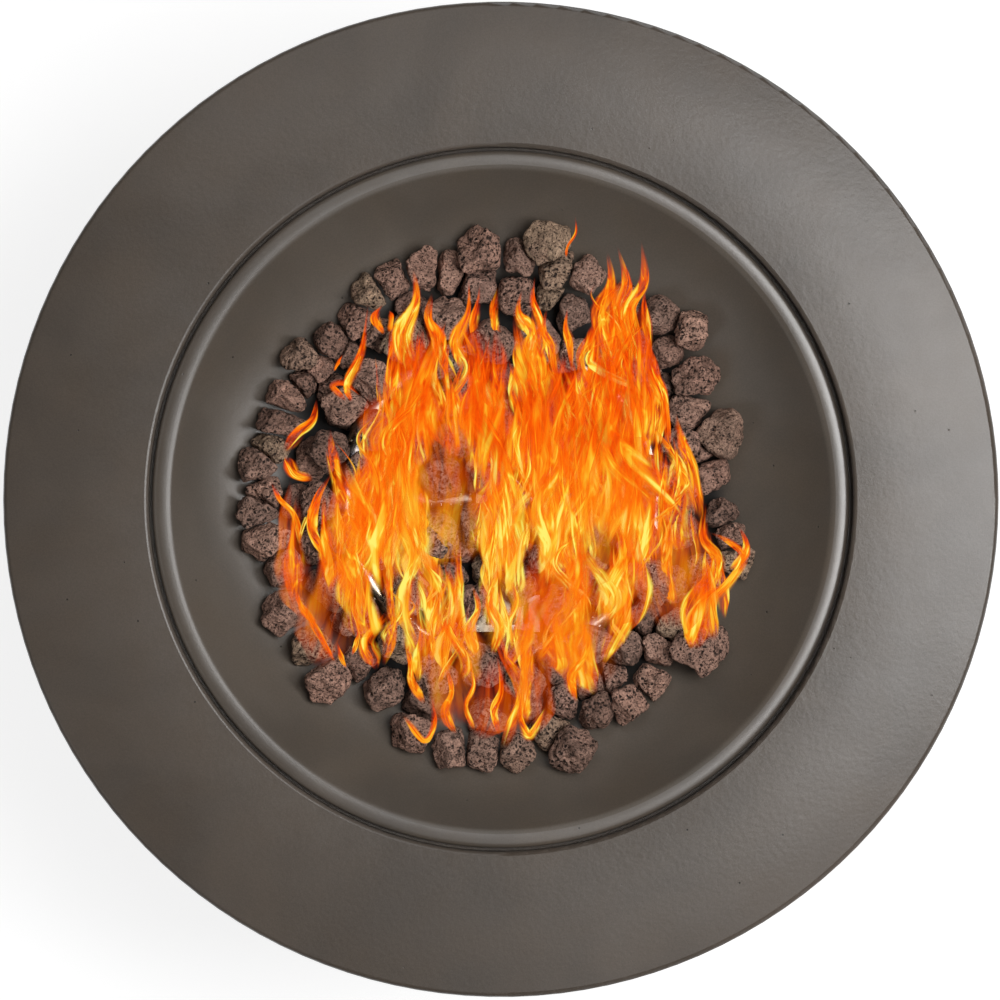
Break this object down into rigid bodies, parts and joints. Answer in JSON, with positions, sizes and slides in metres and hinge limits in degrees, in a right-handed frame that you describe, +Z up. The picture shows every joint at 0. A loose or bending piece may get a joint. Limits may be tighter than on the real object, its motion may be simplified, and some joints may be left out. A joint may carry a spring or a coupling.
{
  "type": "gas fire pit",
  "caption": "Low round gas fire bowl with a wide flat rim, a dropped-in fire dish, a ring burner under lava stones, and a push-to-turn knob and push igniter in a side niche.",
  "frame": {"origin": "on the bowl's axis at the floor, under the feet", "axes": "+Z up, -Y towards the control niche, +Y towards the gas hose window"},
  "size_m": [0.711, 0.7108, 0.3452],
  "materials": {
    "cast_bowl": "satin mineral paint over a fine cast texture",
    "dish_paint": "satin high-temperature paint on pressed steel",
    "glass_tape": "woven glass sealing tape",
    "rubber": "matt moulded rubber",
    "zinc_steel": "zinc-plated steel",
    "stainless": "polished stainless steel, heat-tinted",
    "brass": "turned brass",
    "ceramic_white": "unglazed alumina",
    "copper": "bare copper",
    "panel_steel": "horizontally brushed stainless sheet",
    "bezel_black": "satin black",
    "knob_black": "moulded, fine matt texture",
    "spring_steel": "hard-drawn spring wire",
    "black_plastic": "moulded nylon",
    "cell_jacket": "plain printed jacket",
    "button_black": "smooth moulded",
    "tube_alloy": "drawn soft aluminium tube",
    "lead_silicone": "silicone-insulated high-voltage lead",
    "lava_stone": "porous lava, matt, brown to grey-purple",
    "flame": null
  },
  "bodies": {
    "bowl": {"air_mixer": "stainless", "bowl_shell": "cast_bowl", "bracket_screws": "zinc_steel", "burner_hub": "stainless", "burner_legs": "stainless", "burner_ring": "stainless", "control_panel": "panel_steel", "dish_gasket": "glass_tape", "electrode_ceramic": "ceramic_white", "electrode_lead": "lead_silicone", "electrode_rod": "stainless", "fire_dish": "dish_paint", "flames": "flame", "foot_screws": "zinc_steel", "foot_washers": "zinc_steel", "gas_jet": "brass", "hub_locknut": "zinc_steel", "hub_washer": "zinc_steel", "igniter_battery": "cell_jacket", "igniter_body": "black_plastic", "igniter_nut": "black_plastic", "igniter_spring": "spring_steel", "inlet_bracket": "zinc_steel", "inlet_fitting": "brass", "inlet_locknut": "brass", "inlet_tube": "tube_alloy", "jet_elbow": "brass", "knob_bezel": "bezel_black", "lava_stones_01": "lava_stone", "lava_stones_02": "lava_stone", "lava_stones_03": "lava_stone", "lava_stones_04": "lava_stone", "lava_stones_05": "lava_stone", "lava_stones_06": "lava_stone", "lava_stones_07": "lava_stone", "lava_stones_08": "lava_stone", "lava_stones_09": "lava_stone", "lava_stones_10": "lava_stone", "lava_stones_11": "lava_stone", "lava_stones_12": "lava_stone", "leg_screws": "zinc_steel", "panel_screws": "zinc_steel", "pilot_bracket": "stainless", "pilot_guard": "stainless", "pilot_screws": "zinc_steel", "rubber_feet": "rubber", "stem_bush": "brass", "supply_tube": "tube_alloy", "thermocouple": "copper", "thermocouple_lead": "copper", "valve_body": "brass", "valve_spring": "spring_steel"},
    "stem_carriage": {"stem_collar": "brass"},
    "knob": {"control_knob": "knob_black", "knob_insert": "zinc_steel", "valve_stem": "zinc_steel"},
    "battery_cap": {"igniter_cap": "black_plastic"},
    "push_button": {"igniter_button": "button_black"}
  },
  "joints": [
    {"name": "knob_push", "type": "slide", "parent": "bowl", "child": "stem_carriage", "axis": [0, 1, 0], "range_m": [0, 0.003], "stiffness_N_per_m": 1500, "springref_m": -0.004, "deforming": ["valve_spring"]},
    {"name": "knob_turn", "type": "hinge", "parent": "stem_carriage", "child": "knob", "pos_m": [-0.038, -0.2595, 0.147], "axis": [0, -1, 0], "range_deg": [0, 210]},
    {"name": "battery_cap_off", "type": "slide", "parent": "bowl", "child": "battery_cap", "axis": [0, -1, 0], "range_m": [0, 0.03]},
    {"name": "igniter_push", "type": "slide", "parent": "battery_cap", "child": "push_button", "axis": [0, 1, 0], "range_m": [0, 0.003], "stiffness_N_per_m": 900, "springref_m": -0.003, "deforming": ["igniter_spring"]}
  ]
}
